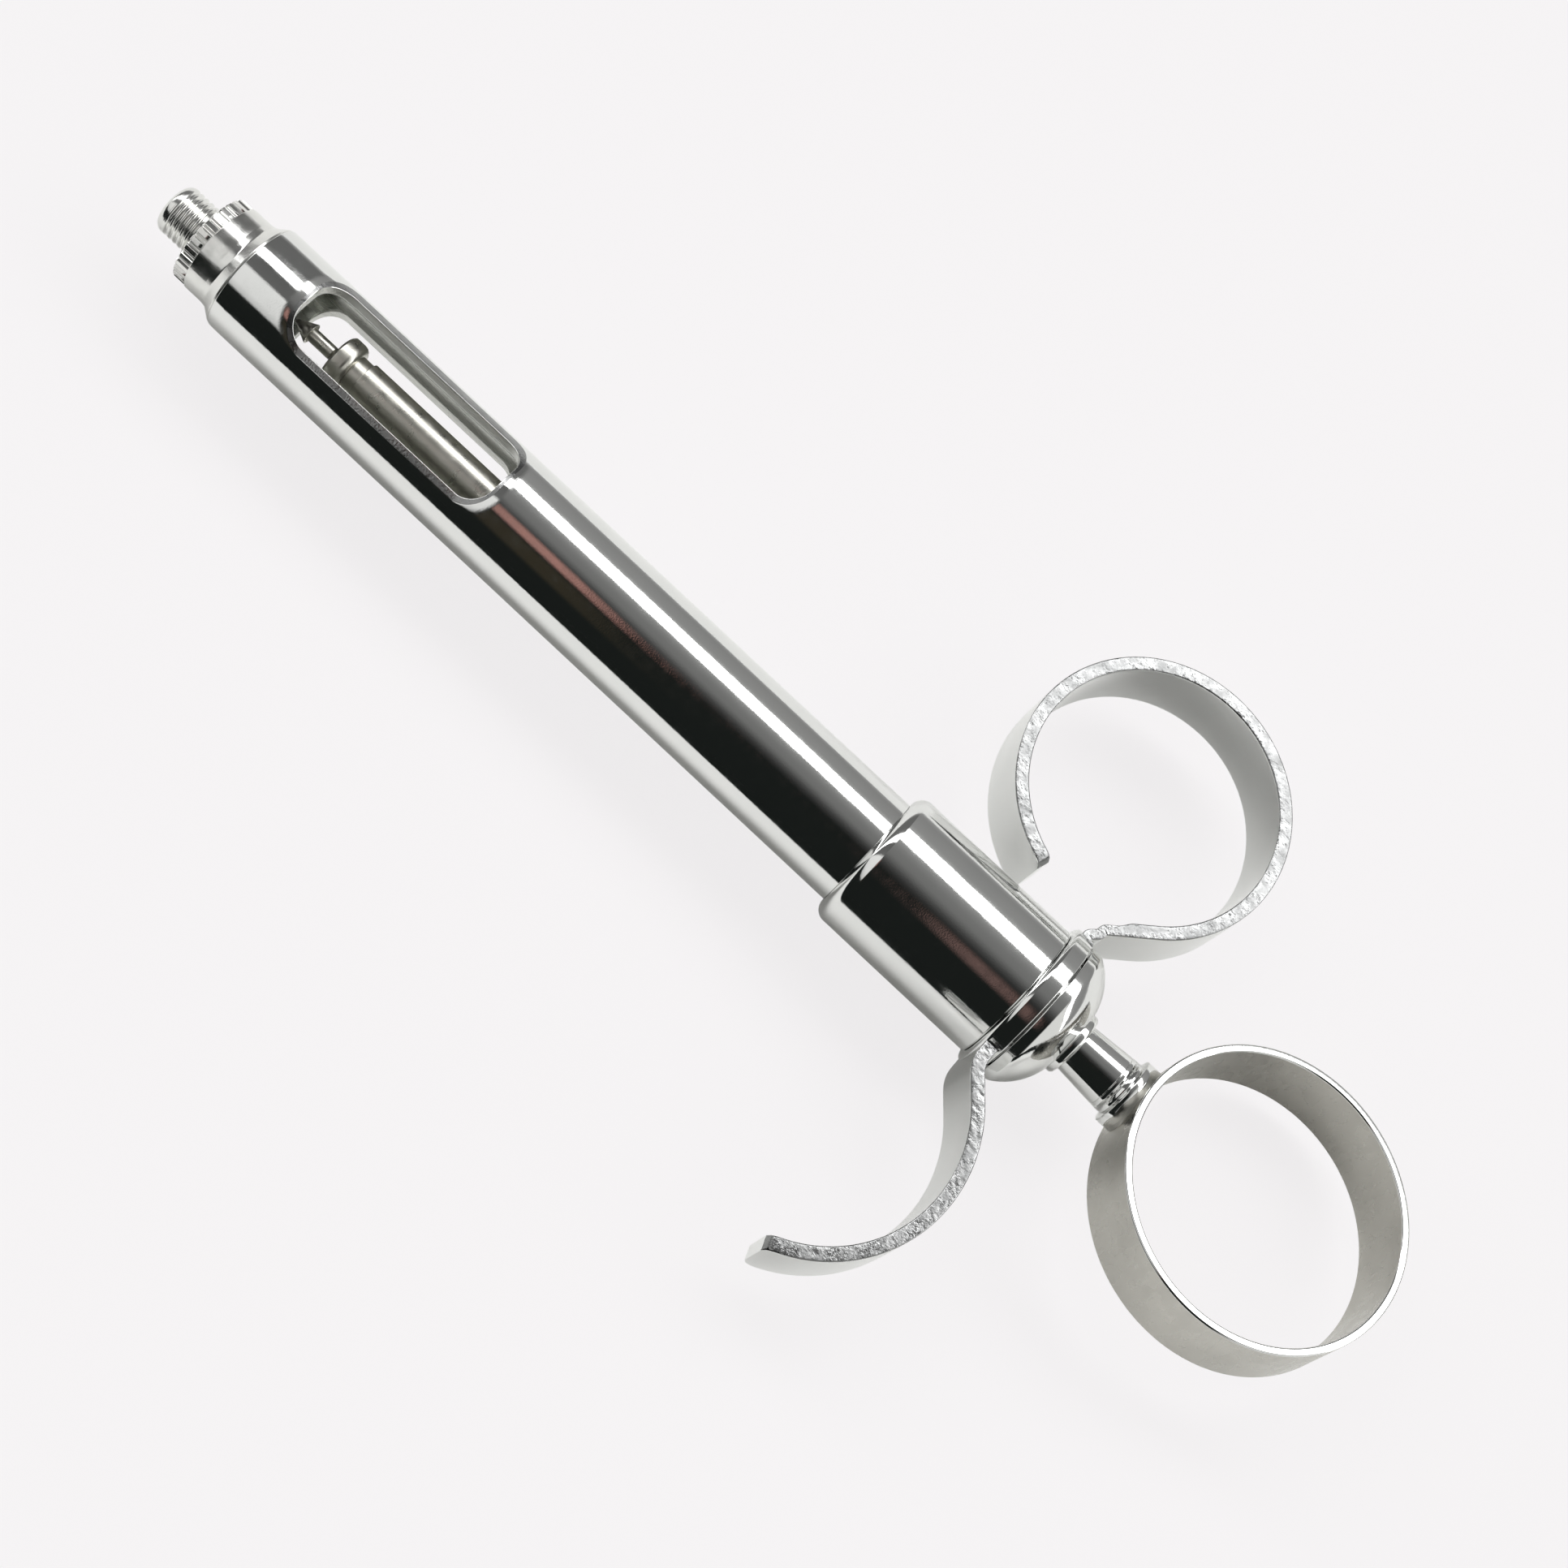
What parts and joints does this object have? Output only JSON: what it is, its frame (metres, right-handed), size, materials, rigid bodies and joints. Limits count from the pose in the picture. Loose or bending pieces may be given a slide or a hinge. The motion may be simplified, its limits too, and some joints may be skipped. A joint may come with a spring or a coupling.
{
  "type": "dental aspirating syringe",
  "caption": "Chrome and steel syringe for a dental cartridge, with finger ring, finger hook, thumb ring and barbed plunger.",
  "frame": {"origin": "centre of the needle hub's seat, at the root of the needle thread, on the barrel's axis", "axes": "+X along the barrel towards the thumb ring, +Y towards the finger ring, +Z square to the plane of the finger rings"},
  "size_m": [0.1609, 0.0775, 0.0176],
  "materials": {
    "chrome": "polished",
    "steel": "satin",
    "rubber": "matte"
  },
  "bodies": {
    "housing": {"housing": "chrome", "finger_grip": "chrome", "rear_cap": "chrome", "guide_bush": "chrome", "spring_washer": "steel", "seat_spring": "steel"},
    "barrel": {"barrel": "chrome", "needle_adapter": "chrome"},
    "seat": {"cartridge_seat": "steel"},
    "friction_ring": {"friction_ring": "rubber"},
    "plunger": {"plunger_rod": "steel", "plunger_tip": "steel", "harpoon": "steel", "stop_sleeve": "chrome", "ring_boss": "chrome", "thumb_ring": "steel"}
  },
  "joints": [
    {"name": "barrel_removal", "type": "slide", "parent": "housing", "child": "barrel", "axis": [-1, 0, 0], "range_m": [0, 0.09]},
    {"name": "seat_travel", "type": "slide", "parent": "housing", "child": "seat", "axis": [1, 0, 0], "range_m": [0, 0.0015], "stiffness_N_per_m": 1500, "springref_m": -0.001, "deforming": ["seat_spring"]},
    {"name": "plunger_spin", "type": "hinge", "parent": "housing", "child": "friction_ring", "pos_m": [0.1065, 0, 0], "axis": [1, 0, 0], "continuous": true},
    {"name": "plunger_slide", "type": "slide", "parent": "friction_ring", "child": "plunger", "axis": [1, 0, 0], "range_m": [0, 0.06]}
  ]
}
